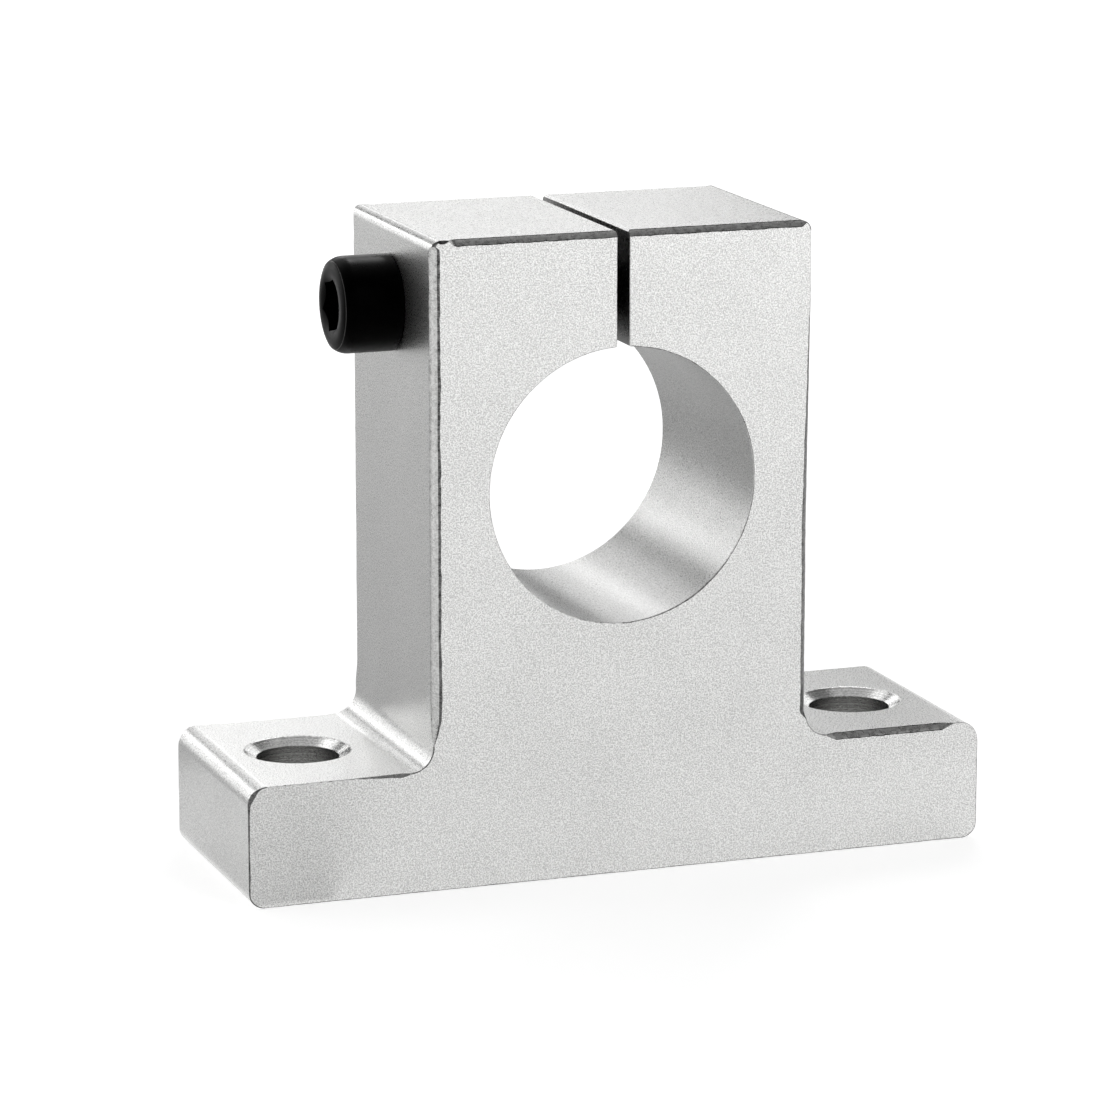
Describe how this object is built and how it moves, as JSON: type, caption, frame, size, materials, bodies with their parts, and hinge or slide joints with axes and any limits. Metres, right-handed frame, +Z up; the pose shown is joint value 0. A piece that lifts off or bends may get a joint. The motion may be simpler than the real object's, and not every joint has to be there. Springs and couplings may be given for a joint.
{
  "type": "shaft support block",
  "caption": "T-shaped clamping block that holds the end of a round linear shaft above a bolted base, with a slit bore and a side clamp screw.",
  "frame": {"origin": "middle of the base's underside, straight below the shaft's axis", "axes": "+X along the base, away from the screw's head, +Y along the shaft, +Z up"},
  "size_m": [0.098, 0.032, 0.082],
  "materials": {
    "aluminium": "sandblasted and clear anodised",
    "black_steel": "black oxide, satin"
  },
  "bodies": {
    "block": {"support_block": "aluminium"},
    "screw": {"clamp_screw": "black_steel"}
  },
  "joints": [
    {"name": "clamp_screw_turn", "type": "hinge", "parent": "block", "child": "screw", "pos_m": [-0.025, 0, 0.072], "axis": [1, 0, 0], "range_deg": [-360, 90]}
  ]
}
